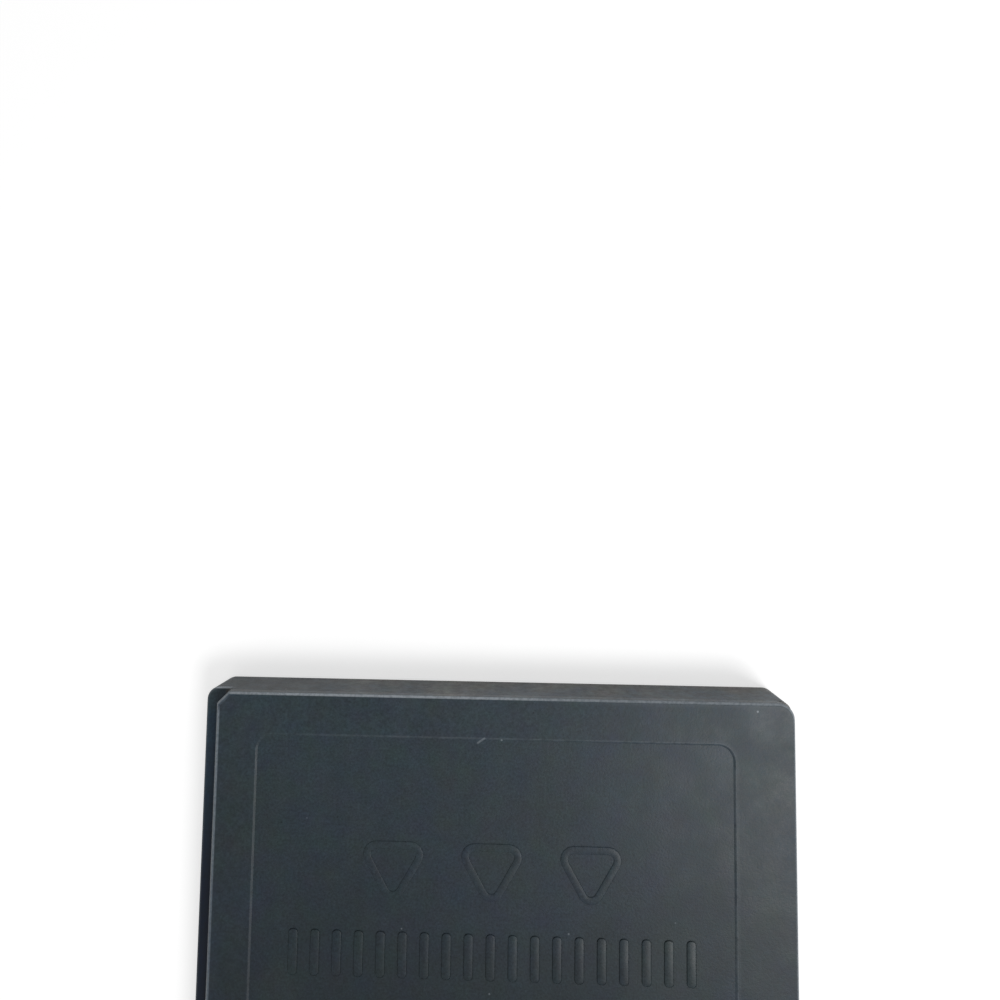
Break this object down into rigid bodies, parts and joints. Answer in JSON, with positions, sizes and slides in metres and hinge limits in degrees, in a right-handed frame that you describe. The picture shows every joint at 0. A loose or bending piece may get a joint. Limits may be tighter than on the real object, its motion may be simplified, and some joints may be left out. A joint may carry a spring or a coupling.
{
  "type": "game cartridge",
  "caption": "Flat handheld game card: two dark plastic shells with a keying step, comb windows over gold contacts, and a board with memory chips inside.",
  "frame": {"origin": "middle of the label face, which the card rests on", "axes": "+Z out of the back, +Y from the contact end to the grip end, +X to the right in a view of the back with the grip end up"},
  "size_m": [0.033, 0.035, 0.0038],
  "materials": {
    "shell_plastic": "fine matte moulded, charcoal with a blue tinge, worn paler at the edges",
    "board_laminate": "green solder mask on glass laminate",
    "gold_plating": "satin gold plating",
    "chip_epoxy": "matte black moulding compound",
    "tinned_lead": "satin tin plating",
    "capacitor_ceramic": "tan ceramic with tinned end caps",
    "resistor_ceramic": "black glazed ceramic with tinned end caps"
  },
  "bodies": {
    "root": {"front_shell": "shell_plastic", "rear_shell": "shell_plastic", "circuit_board": "board_laminate", "game_memory": "chip_epoxy", "save_memory": "chip_epoxy", "game_memory_leads": "tinned_lead", "save_memory_leads": "tinned_lead", "decoupling_cap_1": "capacitor_ceramic", "decoupling_cap_2": "capacitor_ceramic", "decoupling_cap_3": "capacitor_ceramic", "supply_cap": "capacitor_ceramic", "pull_up_resistor_1": "resistor_ceramic", "pull_up_resistor_2": "resistor_ceramic", "clock_resistor": "resistor_ceramic", "series_resistor": "resistor_ceramic", "contact_1": "gold_plating", "contact_2": "gold_plating", "contact_3": "gold_plating", "contact_4": "gold_plating", "contact_5": "gold_plating", "contact_6": "gold_plating", "contact_7": "gold_plating", "contact_8": "gold_plating", "contact_9": "gold_plating", "contact_10": "gold_plating", "contact_11": "gold_plating", "contact_12": "gold_plating", "contact_13": "gold_plating", "contact_14": "gold_plating", "contact_15": "gold_plating", "contact_16": "gold_plating", "contact_17": "gold_plating"}
  },
  "joints": []
}
